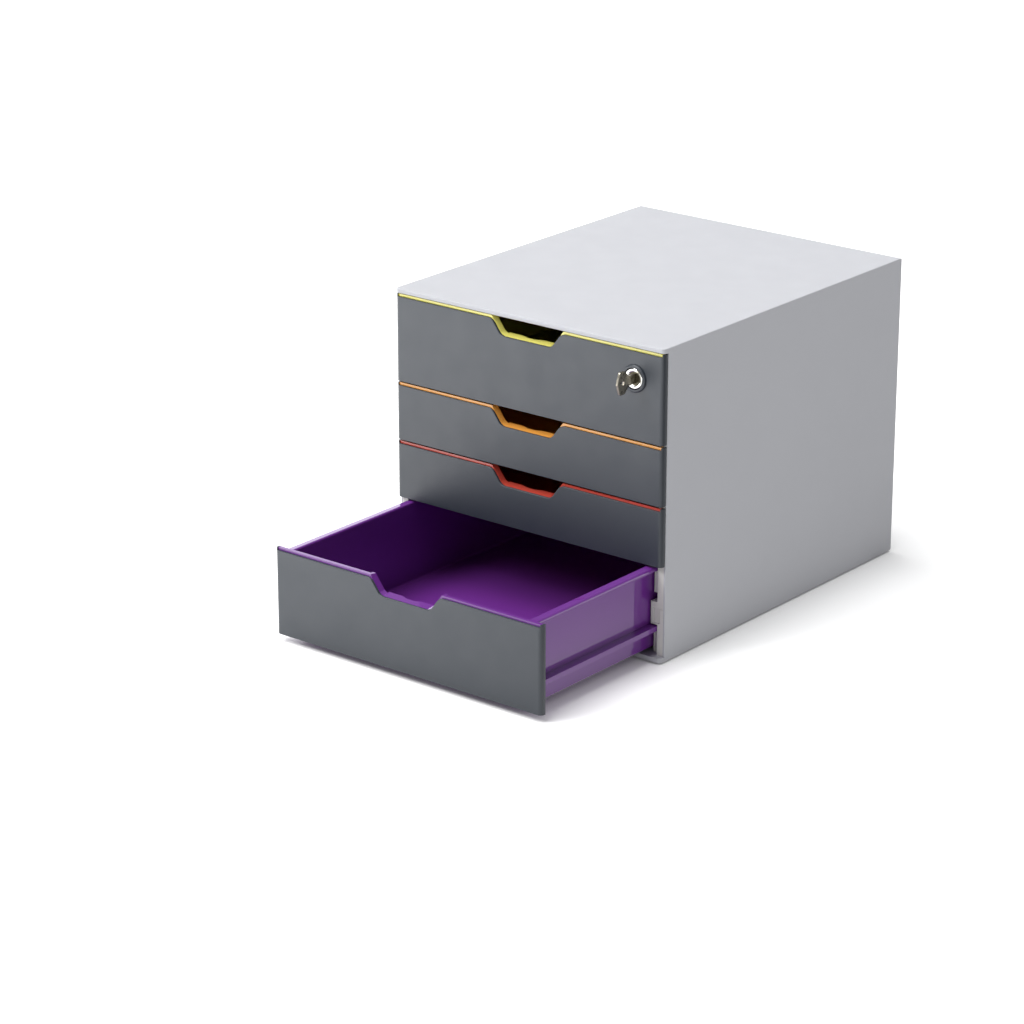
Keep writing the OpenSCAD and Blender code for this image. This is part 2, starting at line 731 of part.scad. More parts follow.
module cam_screw() {
    head_y = cam_y + cam_t;
    color(steel) in_drawer(0) difference() {
        union() {
            round_y(cam_screw_head_r, head_y, head_y + cam_screw_head_t, lock_x, lock_z);
            round_y(cam_screw_r, cam_y - cam_screw_len + screw_gap, head_y, lock_x, lock_z);
        }
        box([lock_x - cam_screw_head_r - over, head_y + cam_screw_head_t - screw_slot_d,
                lock_z - screw_slot_w / 2],
            [lock_x + cam_screw_head_r + over, head_y + cam_screw_head_t + over,
                lock_z + screw_slot_w / 2]);
    }
}

// Key

// Outline of the key seen from its side: distance in front of the plate's face, and height
module key_outline() {
    outer = neck_len + bow_len;
    shoulder = outer - bow_point - bow_flat;
    half = bow_h / 2;
    polygon(rounded([[outer, 0], [outer - bow_point, half], [shoulder, half],
            [neck_len, neck_h / 2], [face_y - neck_y, neck_h / 2], [face_y - neck_y, blade_h / 2],
            [face_y - blade_tip_y, blade_h / 2], [face_y - blade_tip_y, -blade_h / 2],
            [face_y - neck_y, -blade_h / 2], [face_y - neck_y, -neck_h / 2],
            [neck_len, -neck_h / 2], [shoulder, -half], [outer - bow_point, -half]],
        [bow_corner_r, bow_corner_r, bow_corner_r, 0, 0, 0, 0, 0, 0, 0, 0,
            bow_corner_r, bow_corner_r]));
}

module key() {
    ring_hole_y = bow_y - bow_len + ring_hole_inset;
    color(chrome) in_drawer(0) difference() {
        translate([lock_x + key_t / 2, face_y, lock_z]) rotate([90, 0, -90])
            linear_extrude(key_t) key_outline();
        translate([lock_x - key_t, ring_hole_y, lock_z]) rotate([0, 90, 0])
            cylinder(r = ring_hole_r, h = 2 * key_t);
    }
}

housing_shell();
base_plate();
rear_panel();
rear_screws();
liner_lower_left();
liner_lower_right();
liner_upper_left();
liner_upper_right();
foot_front_left();
foot_front_right();
foot_rear_left();
foot_rear_right();
tray_yellow();
tray_orange();
tray_red();
tray_purple();
front_top();
front_upper_middle();
front_lower_middle();
front_bottom();
lock_barrel();
lock_nut();
lock_plug();
lock_cam();
cam_screw();
key();
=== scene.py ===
import math

import bmesh
import bpy
from mathutils import Matrix, Vector


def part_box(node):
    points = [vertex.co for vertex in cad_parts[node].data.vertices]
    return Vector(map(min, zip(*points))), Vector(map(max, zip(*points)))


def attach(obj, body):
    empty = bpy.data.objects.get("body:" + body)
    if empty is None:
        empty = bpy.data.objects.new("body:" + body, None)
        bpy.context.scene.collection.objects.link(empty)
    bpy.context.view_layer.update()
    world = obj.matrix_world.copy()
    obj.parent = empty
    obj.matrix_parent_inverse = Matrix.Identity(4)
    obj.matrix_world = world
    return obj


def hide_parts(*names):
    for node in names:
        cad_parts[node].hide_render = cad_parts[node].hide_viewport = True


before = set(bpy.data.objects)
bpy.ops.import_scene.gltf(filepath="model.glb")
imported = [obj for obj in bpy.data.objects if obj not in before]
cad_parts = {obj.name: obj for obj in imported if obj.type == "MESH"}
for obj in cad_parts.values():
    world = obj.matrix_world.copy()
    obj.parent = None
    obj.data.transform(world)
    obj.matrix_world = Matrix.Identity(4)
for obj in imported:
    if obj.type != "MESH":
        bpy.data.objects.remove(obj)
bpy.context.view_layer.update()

bl_info = {
    "name": "Desktop file drawer",
    "version": (1, 0, 0),
    "blender": (4, 5, 0),
    "location": "3D View > Sidebar > File drawer",
    "description": "Models the housing, drawers and lock of a desktop file drawer",
    "category": "Add Mesh",
}

MM = 0.001
ROWS = ("top", "upper_middle", "lower_middle", "bottom")
TRAYS = dict(zip(ROWS, ("yellow", "orange", "red", "purple")))
SIDES = {"left": -1, "right": 1}

# Sizes that the frame gives
SHELL_LOW, SHELL_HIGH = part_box("housing_shell")
LINER_LOW, LINER_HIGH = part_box("liner_lower_right")
TONGUE_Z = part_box("liner_upper_right")[0].z
BARREL_LOW, BARREL_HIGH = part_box("lock_barrel")
LOCK_X = (BARREL_LOW.x + BARREL_HIGH.x) / 2
LOCK_Z = (BARREL_LOW.z + BARREL_HIGH.z) / 2
FACE_Y = SHELL_LOW.y

# Places nearer than this are one, and nearer than the second where facets stand for a circle
SAME_PLACE = 0.02 * MM
SAME_ROUND = 0.1 * MM
# Cosines over which a face, or an edge, keeps to an axis
FACE_COSINE = 0.99
EDGE_COSINE = 0.999
# Degrees by which a sharp edge turns at least, and a square one
SHARP = 30
SQUARE = 50
# Corners nearer than this are merged, and faces that turn by less are joined
MERGE_GAP = 0.003 * MM
FLAT_TURN = math.radians(0.3)
# Facets across a rounding, and round a whole circle
FACETS = {"thin": 2, "edge": 3, "rim": 5, "bead": 6, "dome": 8, "corner": 10, "scallop": 24}
CIRCLE = {"pad": 64, "hole": 96, "turned": 128}
# Degrees up to which facets shade as one surface
SMOOTH = {"moulded": 35, "turned": 25, "stamped": 40}
# A tool that cuts right through is this many times as long
THROUGH = 6


def linear(code):
    """Linear red, green and blue of a colour written as sRGB hex."""
    values = [int(code[i:i + 2], 16) / 255 for i in (1, 3, 5)]
    return [v / 12.92 if v <= 0.04045 else ((v + 0.055) / 1.055) ** 2.4 for v in values]


def colour_property(name, code, description):
    return bpy.props.FloatVectorProperty(
        name=name, description=description, subtype="COLOR", size=3, min=0, max=1, default=linear(code))


def length(name, millimetres, description):
    return bpy.props.FloatProperty(
        name=name, description=description, subtype="DISTANCE", unit="LENGTH", min=0,
        default=millimetres * MM)


class DrawerSizes(bpy.types.PropertyGroup):
    side_wall: length("Side wall", 1.6, "Thickness of the housing's side walls")
    top_wall: length("Top wall", 2.6, "Thickness of the housing's top")
    lip_height: length("Lip height", 4.2, "Height of the lip over the fronts")
    lip_depth: length("Lip depth", 4, "Depth of the lip, front to back")
    lip_corner: length("Lip corner", 4, "Radius of the lip's corners, seen from above")
    top_edge: length("Top edge", 0.9, "Rounding of the top's edges")
    wall_edge: length("Wall edge", 0.8, "Rounding of the side walls' lower edges")
    mouth_edge: length("Mouth edge", 0.3, "Rounding of the side walls' front edges")
    front_plate: length("Front plate", 2, "Thickness of a drawer front's plate")
    cheek: length("Cheek", 2.2, "Thickness of a front's end cheeks and rise of a tray's rim")
    front_return: length("Front return", 2, "Thickness of the return along a front's bottom")
    front_corner: length("Front corner", 4.2, "Radius of a front's upright outer edges")
    front_edge: length("Front edge", 0.7, "Rounding along a front's face")
    cutout_top: length("Cutout top", 75, "Width of the finger cutout at the plate's top edge")
    cutout_bottom: length("Cutout bottom", 54, "Width of the finger cutout at its bottom")
    cutout_depth: length("Cutout depth", 14, "Depth of the finger cutout")
    cutout_corner: length("Cutout corner", 8, "Radius of the finger cutout's corners")
    pan_low: length("Tray underside", 2.4, "Height of a tray's underside over its front's")
    tray_wall: length("Tray wall", 2.2, "Thickness of a tray's walls and floor")
    tray_corner: length("Tray corner", 3, "Outer radius along a tray's bottom edges")
    tray_fillet: length("Tray fillet", 2, "Inner radius along a tray's bottom edges")
    tray_half: length("Tray half width", 129.8, "Half the width over a tray's side walls")
    bead_height: length("Bead height", 4.1, "Height of the bead along a tray's rim")
    bead_side: length("Bead side", 7.2, "How far the bead stands out of a tray's sides")
    bead_rear: length("Bead rear", 3.5, "How far the bead stands out of a tray's rear")
    bead_slope: length("Bead slope", 0.4, "Fall of the side beads' tops, from the wall outwards")
    bead_round: length("Bead round", 2.8, "Rounding of the bead's upper outer edge")
    bead_foot: length("Bead foot", 0.6, "Rounding of the bead's lower outer edge")
    rim_inner: length("Rim inner edge", 1.8, "Rounding of the rim's inner edges along the sides")
    rail_low: length("Rail height", 20.5, "Height of a rail's underside over the front's")
    rail_thick: length("Rail thickness", 4.8, "Thickness of a rail")
    rail_side: length("Rail side", 8.1, "How far a rail stands out of a tray's sides")
    rail_edge: length("Rail edge", 0.6, "Rounding of a rail's long edges")
    lug_length: length("Lug length", 8, "Length of the stop lug at a rail's rear end")
    lug_height: length("Lug height", 3, "Height of the stop lug")
    lug_side: length("Lug side", 2.2, "How far the stop lug stands out of its rail")
    hole_gap: length("Hole gap", 0.1, "Gap between the lock's barrel and its hole in the tray")
    window_gap: length("Window gap", 0.9, "Gap before and behind the cam in its window")
    window_below: length("Window below", 17, "Reach of the cam's window below the lock's axis")
    window_above: length("Window above", 5.4, "Reach of the cam's window above the lock's axis")
    cutout_tilt: length("Cutout tilt", 3, "Rise of the collar's inside over the cut's whole length")
    cutout_above: length("Cutout above", 8, "Reach of the cutting tool over the plate")
    join_step: length("Join step", 0.2, "How far a joined piece starts inside the last one")
    collar_wall: length("Collar wall", 2, "Wall of the coloured collar in the cutout")
    collar_depth: length("Collar depth", 8, "Depth of the collar's sides from the front's face")
    ledge_depth: length("Ledge depth", 10.2, "Depth of the collar's ledge near its ends")
    ledge_middle: length("Ledge middle", 7.4, "Depth of the ledge at its scalloped middle")
    scallop: length("Scallop", 26, "Width of the ledge's scallop")
    trim_edge: length("Trim edge", 0.35, "Rounding of the base's and the liners' edges")
    trim_base: length("Trimmed base edge", 3, "Shortest edge of the base and rear that is rounded")
    trim_liner: length("Trimmed liner edge", 2.5, "Shortest edge of a liner that is rounded")
    seam_edge: length("Seam edge", 0.5, "Rounding of the liners' edges at their seam")
    seam_margin: length("Seam margin", 1, "Room round the seam where its edges are sought")
    bezel_radius: length("Bezel radius", 9.4, "Outer radius of the lock's bezel")
    bezel_round: length("Bezel round", 1.5, "Rounding of the bezel's outer edge")
    bezel_inner: length("Bezel inner edge", 1.7, "Rounding of the bezel's edge round the plug")
    bore_lap: length("Bore lap", 0.1, "How far the bore cuts into that inner rounding")
    plug_bore: length("Plug bore", 5.65, "Radius of the bore that the plug turns in")
    barrel_radius: length("Barrel radius", 8, "Radius of the lock's barrel")
    collar_radius: length("Lock collar radius", 12.1, "Outer radius of the collar round the lock")
    collar_bore: length("Lock collar bore", 9.6, "Inner radius of the collar round the lock")
    collar_height: length("Lock collar height", 2, "How far that collar stands proud")
    collar_round: length("Lock collar round", 1.5, "Rounding of that collar")
    pad_border: length("Pad border", 1.8, "Width of a foot pad's border and of its ring groove")
    pad_edge: length("Pad edge", 0.3, "Rounding of a foot pad's edge and slope of its groove")
    pad_groove: length("Pad groove", 0.4, "Depth of a foot pad's ring groove")
    key_edge: length("Key edge", 0.25, "Rounding of the key's edges")
    key_clear: length("Key clear", 3, "Length of the key next to the lock that keeps its edges")


class DrawerColours(bpy.types.PropertyGroup):
    housing: colour_property("Housing", "#b7b8bd", "Pale grey of the housing")
    liner: colour_property("Liner", "#d2d2cc", "Warm grey of the side liners")
    front: colour_property("Front", "#2c323a", "Graphite grey of the drawer fronts")
    yellow: colour_property("Yellow", "#f5ec7a", "Plastic of the top tray")
    orange: colour_property("Orange", "#eca24a", "Plastic of the second tray")
    red: colour_property("Red", "#c44a3d", "Plastic of the third tray")
    purple: colour_property("Purple", "#6c2f8a", "Plastic of the bottom tray")
    chrome: colour_property("Chrome", "#dddcd8", "Plating of the lock")
    plug: colour_property("Plug", "#4f4b3f", "Plating of the plug's face")
    nickel: colour_property("Nickel", "#b9b3a4", "Plating of the key")
    zinc: colour_property("Zinc", "#b4b6b8", "Plating of the screws, the nut and the cam")
    rubber: colour_property("Rubber", "#2a2a2b", "Rubber of the feet")
    floor: colour_property("Floor", "#b4b4b4", "Table top under the object")


# Selecting and shaping

def pick(obj):
    """Selects obj alone and makes it the active one."""
    bpy.ops.object.select_all(action="DESELECT")
    bpy.context.view_layer.objects.active = obj
    obj.select_set(True)


def new_edit(obj):
    """Goes into edit mode on obj alone."""
    pick(obj)
    bpy.ops.object.mode_set(mode="EDIT")


def leave_edit():
    bpy.ops.object.mode_set(mode="OBJECT")


def choose(obj, kind, test):
    """Selects the faces, edges or vertices of obj, in edit mode, that pass a test."""
    bpy.ops.mesh.select_mode(type=kind[:-1].upper())
    bpy.ops.mesh.select_all(action="DESELECT")
    mesh = bmesh.from_edit_mesh(obj.data)
    mesh.normal_update()
    found = [item for item in getattr(mesh, kind) if test(item)]
    for item in found:
        item.select_set(True)
    mesh.select_flush_mode()
    bmesh.update_edit_mesh(obj.data)
    if not found:
        raise RuntimeError(f"{obj.name}: nothing is selected among its {kind}")


def near(a, b, gap=SAME_PLACE):
    return abs(a - b) < gap


def middle(item):
    """Middle of an edge or a face."""
    return sum((v.co for v in item.verts), Vector()) / len(item.verts)


def lies(item, x=None, y=None, z=None):
    """True if the middle of an edge or a face is at these places, on either side in x."""
    spot = middle(item)
    pairs = ((abs(spot.x), x), (spot.y, y), (spot.z, z))
    return all(value is None or near(place, value) for place, value in pairs)


def facing(item, axis, sign, value=None):
    """True if a face looks along an axis, and lies at value on it if that is given."""
    return item.normal[axis] * sign > FACE_COSINE and (value is None or near(middle(item)[axis], value))


def along(edge, axis):
    """True if an edge runs along an axis."""
    span = edge.verts[1].co - edge.verts[0].co
    return abs(span[axis]) > EDGE_COSINE * span.length


def sharp(edge, degrees=SHARP):
    return len(edge.link_faces) == 2 and edge.calc_face_angle(0) > math.radians(degrees)


def added(name, add, **settings):
    """Adds a simple shape by its operator and moves its place into its mesh."""
    bpy.ops.object.select_all(action="DESELECT")
    add(**settings)
    bpy.ops.object.transform_apply(location=True, rotation=True, scale=True)
    made = bpy.context.object
    made.name = made.data.name = name
    return made


def block(name, low, high):
    """A box between two opposite corners."""
    low, high = Vector(low), Vector(high)
    return added(name, bpy.ops.mesh.primitive_cube_add, size=1, location=(low + high) / 2,
                 scale=high - low)


def lock_bar(name, radius, y, depth, facets=CIRCLE["hole"]):
    """A round bar on the lock's axis whose middle is at y."""
    return added(name, bpy.ops.mesh.primitive_cylinder_add, vertices=facets, radius=radius, depth=depth,
                 location=(LOCK_X, y, LOCK_Z), rotation=(math.pi / 2, 0, 0))


def combine(obj, other, operation):
    """Cuts other out of obj, or joins it on, and deletes it."""
    pick(obj)
    step = obj.modifiers.new(operation, "BOOLEAN")
    step.operation = operation
    step.solver = "EXACT"
    step.object = other
    bpy.ops.object.modifier_apply(modifier=step.name)
    bpy.data.objects.remove(other)


def flatten(obj):
    """Merges doubles and joins faces that lie in one plane, but not across a seam."""
    new_edit(obj)
    bpy.ops.mesh.select_all(action="SELECT")
    bpy.ops.mesh.remove_doubles(threshold=MERGE_GAP)
    bpy.ops.mesh.dissolve_limited(angle_limit=FLAT_TURN, delimit={"NORMAL", "SEAM"})
    leave_edit()


def round_edges(obj, test, radius, segments=FACETS["edge"]):
    """Rounds the edges that pass a test."""
    choose(obj, "edges", test)
    bpy.ops.mesh.bevel(
        offset=radius, offset_type="OFFSET", segments=segments, affect="EDGES", profile=0.5,
        clamp_overlap=False, miter_outer="ARC")


def push(offset):
    """Extrudes the selected faces by an offset."""
    bpy.ops.mesh.extrude_region_move(TRANSFORM_OT_translate={"value": offset})


def slice_at(axis, *values):
    """Cuts the whole mesh, in edit mode, along planes square to an axis."""
    normal = [0, 0, 0]
    normal[axis] = 1
    for value in values:
        spot = [0, 0, 0]
        spot[axis] = value
        bpy.ops.mesh.select_mode(type="FACE")
        bpy.ops.mesh.select_all(action="SELECT")
        bpy.ops.mesh.bisect(plane_co=spot, plane_no=normal)


def finished(obj, body, material, node, smooth=SMOOTH["moulded"]):
    """Gives a piece its finish and its body, and hides the CAD node that it stands for."""
    pick(obj)
    bpy.ops.object.shade_smooth_by_angle(angle=math.radians(smooth))
    # Large flat faces stay flat beside their rounded edges
    step = obj.modifiers.new("weighted_normals", "WEIGHTED_NORMAL")
    step.keep_sharp = True
    bpy.ops.object.modifier_apply(modifier=step.name)
    obj.data.materials.clear()
    obj.data.materials.append(material)
    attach(obj, body)
    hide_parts(node)


def dressed_copy(node, name):
    """A copy of a CAD node with its triangles joined into flat faces."""
    made = bpy.data.objects.new(name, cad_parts[node].data.copy())
    made.data.name = name
    bpy.context.scene.collection.objects.link(made)
    flatten(made)
    return made


def moved_copy(obj, name, offset):
    """A copy of a piece, with its own mesh, moved by an offset."""
    made = bpy.data.objects.new(name, obj.data.copy())
    made.data.name = name
    bpy.context.scene.collection.objects.link(made)
    made.data.transform(Matrix.Translation(offset))
    return made


def long_sharp(shortest):
    """A test for sharp outer edges that are at least so long."""
    return lambda e: sharp(e, SQUARE) and e.calc_length() > shortest


# Materials

def add_node(tree, kind, inputs=None, **settings):
    """Adds a node with its settings, and with values or links on its inputs."""
    made = tree.nodes.new(kind)
    for key, value in settings.items():
        setattr(made, key, value)
    for key, value in (inputs or {}).items():
        if isinstance(value, bpy.types.NodeSocket):
            tree.links.new(value, made.inputs[key])
        else:
            made.inputs[key].default_value = value
    return made


def rgba(colour, level=1.0):
    return (*[min(1.0, c * level) for c in colour], 1)


def empty_tree(owner):
    """The node tree of a material or a world, with no node in it."""
    owner.use_nodes = True
    owner.node_tree.nodes.clear()
    return owner.node_tree


# Sizes in millimetres of the marks that the finishes share, and how finely each is broken up
FLOW_MM, FLOW_DETAIL = 70, 3
TOUCH_MM, TOUCH_DETAIL = 22, 4
HAZE_MM, HAZE_DETAIL = 3, 4
# Values between which the noise of touched and of hazy places mostly lies
TOUCH_LOW, TOUCH_HIGH = 0.3, 0.7
HAZE_LOW, HAZE_HIGH = 0.35, 0.75
# Share by which the gloss of touched places differs, what haze does to it, and the darkest tone of haze
TOUCH_SHARE = 0.08
HAZE_SHARE = 2
HAZE_TONE = 0.88
# Scratches run flat, so they are this much finer upwards
SCRATCH_STRETCH = (1, 1, 9)


def moulded_plastic(name, colour, roughness, grain_mm, depth_mm, mottle=0.03, ior=1.5):
    """Moulded plastic: a fine grain, faint flow mottling in the colour, and patchy gloss."""
    made = bpy.data.materials.new(name)
    tree = empty_tree(made)
    place = add_node(tree, "ShaderNodeTexCoord").outputs["Object"]
    # Flow marks in the colour are a hand's width across
    flow = add_node(tree, "ShaderNodeTexNoise", {
        "Vector": place, "Scale": 1 / (FLOW_MM * MM), "Detail": FLOW_DETAIL})
    shade = add_node(tree, "ShaderNodeMix", {
        0: flow.outputs["Fac"], 6: rgba(colour, 1 - mottle), 7: rgba(colour, 1 + mottle)},
        data_type="RGBA")
    # Handling leaves the gloss a little patchy, a thumb's width at a time
    touch = add_node(tree, "ShaderNodeTexNoise", {
        "Vector": place, "Scale": 1 / (TOUCH_MM * MM), "Detail": TOUCH_DETAIL})
    gloss = add_node(tree, "ShaderNodeMapRange", {
        "Value": touch.outputs["Fac"], "From Min": TOUCH_LOW, "From Max": TOUCH_HIGH,
        "To Min": roughness * (1 - TOUCH_SHARE), "To Max": roughness * (1 + TOUCH_SHARE)})
    grain = add_node(tree, "ShaderNodeTexNoise", {"Vector": place, "Scale": 1 / (grain_mm * MM)})
    relief = add_node(tree, "ShaderNodeBump", {"Height": grain.outputs["Fac"], "Distance": depth_mm * MM})
    shader = add_node(tree, "ShaderNodeBsdfPrincipled", {
        "Base Color": shade.outputs[2], "Roughness": gloss.outputs["Result"],
        "Normal": relief.outputs["Normal"], "IOR": ior})
    add_node(tree, "ShaderNodeOutputMaterial", {"Surface": shader.outputs["BSDF"]})
    return made


def plated_metal(name, colour, roughness, scratch_mm, depth_mm):
    """Plated metal: mirror-like, with hairline scratches and a faint haze where it is touched."""
    made = bpy.data.materials.new(name)
    tree = empty_tree(made)
    place = add_node(tree, "ShaderNodeTexCoord").outputs["Object"]
    haze = add_node(tree, "ShaderNodeTexNoise", {
        "Vector": place, "Scale": 1 / (HAZE_MM * MM), "Detail": HAZE_DETAIL})
    gloss = add_node(tree, "ShaderNodeMapRange", {
        "Value": haze.outputs["Fac"], "From Min": HAZE_LOW, "From Max": HAZE_HIGH,
        "To Min": roughness, "To Max": roughness * HAZE_SHARE})
    tone = add_node(tree, "ShaderNodeMix", {
        0: haze.outputs["Fac"], 6: rgba(colour), 7: rgba(colour, HAZE_TONE)}, data_type="RGBA")
    stretch = add_node(tree, "ShaderNodeMapping", {"Vector": place, "Scale": SCRATCH_STRETCH})
    lines = add_node(tree, "ShaderNodeTexNoise", {
        "Vector": stretch.outputs["Vector"], "Scale": 1 / (scratch_mm * MM)})
    relief = add_node(tree, "ShaderNodeBump", {"Height": lines.outputs["Fac"], "Distance": depth_mm * MM})
    shader = add_node(tree, "ShaderNodeBsdfPrincipled", {
        "Base Color": tone.outputs[2], "Metallic": 1, "Roughness": gloss.outputs["Result"],
        "Normal": relief.outputs["Normal"]})
    add_node(tree, "ShaderNodeOutputMaterial", {"Surface": shader.outputs["BSDF"]})
    return made


MATERIALS = {}


class DRAWER_OT_finishes(bpy.types.Operator):
    """Materials of all the pieces"""
    bl_idname = "drawer.finishes"
    bl_label = "Finishes"

    def execute(self, context):
        c = context.scene.drawer_colours
        # Spark-eroded ABS scatters light softly, so it shows broad, weak highlights
        MATERIALS["housing"] = moulded_plastic(
            "eroded_abs_light_grey", c.housing, roughness=0.5, grain_mm=0.9, depth_mm=0.006, mottle=0.012)
        MATERIALS["front"] = moulded_plastic(
            "eroded_abs_graphite", c.front, roughness=0.44, grain_mm=0.9, depth_mm=0.006, ior=1.6)
        # ABS from a plain mould is a little glossier, and its flow marks show more
        MATERIALS["liner"] = moulded_plastic(
            "moulded_abs_warm_grey", c.liner, roughness=0.42, grain_mm=1.1, depth_mm=0.008, mottle=0.02)
        # Polished polystyrene mirrors the table at a low angle
        for tray in TRAYS.values():
            MATERIALS[tray] = moulded_plastic(
                f"polished_polystyrene_{tray}", getattr(c, tray),
                roughness=0.055, grain_mm=2.5, depth_mm=0.002, ior=1.59)
        # Chrome over a polished casting is nearly a mirror
        MATERIALS["chrome"] = plated_metal(
            "bright_chrome_plating", c.chrome, roughness=0.05, scratch_mm=0.8, depth_mm=0.0004)
        # The plug's face is brushed, so it mirrors less than the bezel round it
        MATERIALS["plug"] = plated_metal(
            "brushed_nickel_plug", c.plug, roughness=0.26, scratch_mm=0.4, depth_mm=0.003)
        # Nickel that pockets and hands have dulled is warm and soft
        MATERIALS["nickel"] = plated_metal(
            "worn_nickel_plating", c.nickel, roughness=0.24, scratch_mm=0.6, depth_mm=0.0012)
        # Bright zinc is bluish and a little uneven
        MATERIALS["zinc"] = plated_metal(
            "bright_zinc_plating", c.zinc, roughness=0.22, scratch_mm=0.5, depth_mm=0.004)
        # Moulded nitrile rubber is matte and slightly pitted
        MATERIALS["rubber"] = moulded_plastic(
            "moulded_nitrile_rubber", c.rubber, roughness=0.75, grain_mm=0.7, depth_mm=0.03, mottle=0.08)
        return {"FINISHED"}


# Housing

class DRAWER_OT_shell(bpy.types.Operator):
    """Top and sides in one moulding, with a lip over the fronts"""
    bl_idname = "drawer.shell"
    bl_label = "Housing shell"

    def execute(self, context):
        s = context.scene.drawer_sizes
        low, high = SHELL_LOW, SHELL_HIGH
        # Cutting tools stand this far out of the shell
        reach = s.lip_height
        edge_y = LINER_LOW.y
        lip_z = high.z - s.lip_height
        shell = block("shell_moulding", low, high)
        combine(shell, block("inside", (low.x + s.side_wall, low.y + s.lip_depth, low.z - reach),
                             (high.x - s.side_wall, high.y + reach, high.z - s.top_wall)), "DIFFERENCE")
        combine(shell, block("mouth", (low.x - reach, low.y - reach, low.z - reach),
                             (high.x + reach, edge_y, lip_z)), "DIFFERENCE")
        flatten(shell)
        new_edit(shell)
        round_edges(shell, lambda e: along(e, 2) and lies(e, y=low.y), s.lip_corner, FACETS["corner"])
        round_edges(shell, lambda e: sharp(e) and all(near(v.co.z, high.z) for v in e.verts),
                    s.top_edge, FACETS["rim"])
        round_edges(shell, lambda e: sharp(e) and all(near(v.co.z, lip_z) for v in e.verts)
                    and all(v.co.y < edge_y - s.top_edge for v in e.verts), s.wall_edge)
        round_edges(shell, lambda e: sharp(e) and along(e, 2) and lies(e, x=high.x, y=edge_y),
                    s.mouth_edge)
        round_edges(shell, lambda e: sharp(e) and along(e, 1) and lies(e, x=high.x, z=low.z),
                    s.wall_edge)
        leave_edit()
        finished(shell, "housing", MATERIALS["housing"], "housing_shell")
        return {"FINISHED"}


class DRAWER_OT_base(bpy.types.Operator):
    """Base plate and rear panel"""
    bl_idname = "drawer.base"
    bl_label = "Base and rear"

    def execute(self, context):
        s = context.scene.drawer_sizes
        for node, name in (("base_plate", "base_moulding"), ("rear_panel", "rear_moulding")):
            made = dressed_copy(node, name)
            new_edit(made)
            round_edges(made, long_sharp(s.trim_base), s.trim_edge, FACETS["thin"])
            leave_edit()
            finished(made, "housing", MATERIALS["housing"], node)
        return {"FINISHED"}


class DRAWER_OT_liners(bpy.types.Operator):
    """Grooved side liners"""
    bl_idname = "drawer.liners"
    bl_label = "Side liners"

    def execute(self, context):
        s = context.scene.drawer_sizes
        for level in ("lower", "upper"):
            for side in SIDES:
                node = f"liner_{level}_{side}"
                made = dressed_copy(node, f"{node}_moulding")
                new_edit(made)
                # The seam between a low and a high liner shows as a line round the tongue
                spare = s.seam_margin
                round_edges(made, lambda e: sharp(e, SQUARE) and lies(e, y=LINER_LOW.y)
                            and TONGUE_Z - spare < middle(e).z < LINER_HIGH.z + spare
                            and LINER_LOW.x + spare < abs(middle(e).x) < LINER_HIGH.x - spare,
                            s.seam_edge, FACETS["thin"])
                round_edges(made, lambda e: long_sharp(s.trim_liner)(e) and lies(e, y=LINER_LOW.y)
                            and (lies(e, x=LINER_LOW.x) or along(e, 0)), s.trim_edge)
                leave_edit()
                finished(made, "housing", MATERIALS["liner"], node)
        return {"FINISHED"}


class DRAWER_OT_feet(bpy.types.Operator):
    """Rubber pads under the base"""
    bl_idname = "drawer.feet"
    bl_label = "Foot pads"

    def execute(self, context):
        s = context.scene.drawer_sizes
        first = None
        for end in ("front", "rear"):
            for side in SIDES:
                node = f"foot_{end}_{side}"
                low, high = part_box(node)
                if first is None:
                    first, start = self.pad(s, f"{node}_pad", low, high), low
                    pad = first
                else:
                    pad = moved_copy(first, f"{node}_pad", low - start)
                finished(pad, "housing", MATERIALS["rubber"], node)
        return {"FINISHED"}

    def pad(self, s, name, low, high):
        """A round pad with a ring groove in its underside."""
        radius, centre = (high.x - low.x) / 2, (low + high) / 2
        pad = added(name, bpy.ops.mesh.primitive_cylinder_add, vertices=CIRCLE["pad"], radius=radius,
                    depth=high.z - low.z, location=centre)
        new_edit(pad)
        choose(pad, "faces", lambda f: facing(f, 2, -1))
        for thickness, rise in ((s.pad_border, 0), (s.pad_edge, s.pad_groove), (s.pad_border, 0),
                                (s.pad_edge, -s.pad_groove)):
            bpy.ops.mesh.inset(thickness=thickness)
            bpy.ops.transform.translate(value=(0, 0, rise))
        round_edges(pad, lambda e: sharp(e, SQUARE) and lies(e, z=low.z)
                    and near((middle(e) - centre).xy.length, radius, SAME_ROUND), s.pad_edge)
        leave_edit()
        return pad


# Drawers

def row_step():
    """From the second row, which is modelled, down to the third, which is a copy of it."""
    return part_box("front_lower_middle")[0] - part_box("front_upper_middle")[0]


def cutout_slope(s):
    """How much wider a finger cutout gets on each side per height."""
    return (s.cutout_top - s.cutout_bottom) / (2 * s.cutout_depth)


def bend_offset(s, radius):
    """Length that a corner of the cutout loses on each side when it is rounded to a radius."""
    return radius * math.tan(math.atan(1 / cutout_slope(s)) / 2)


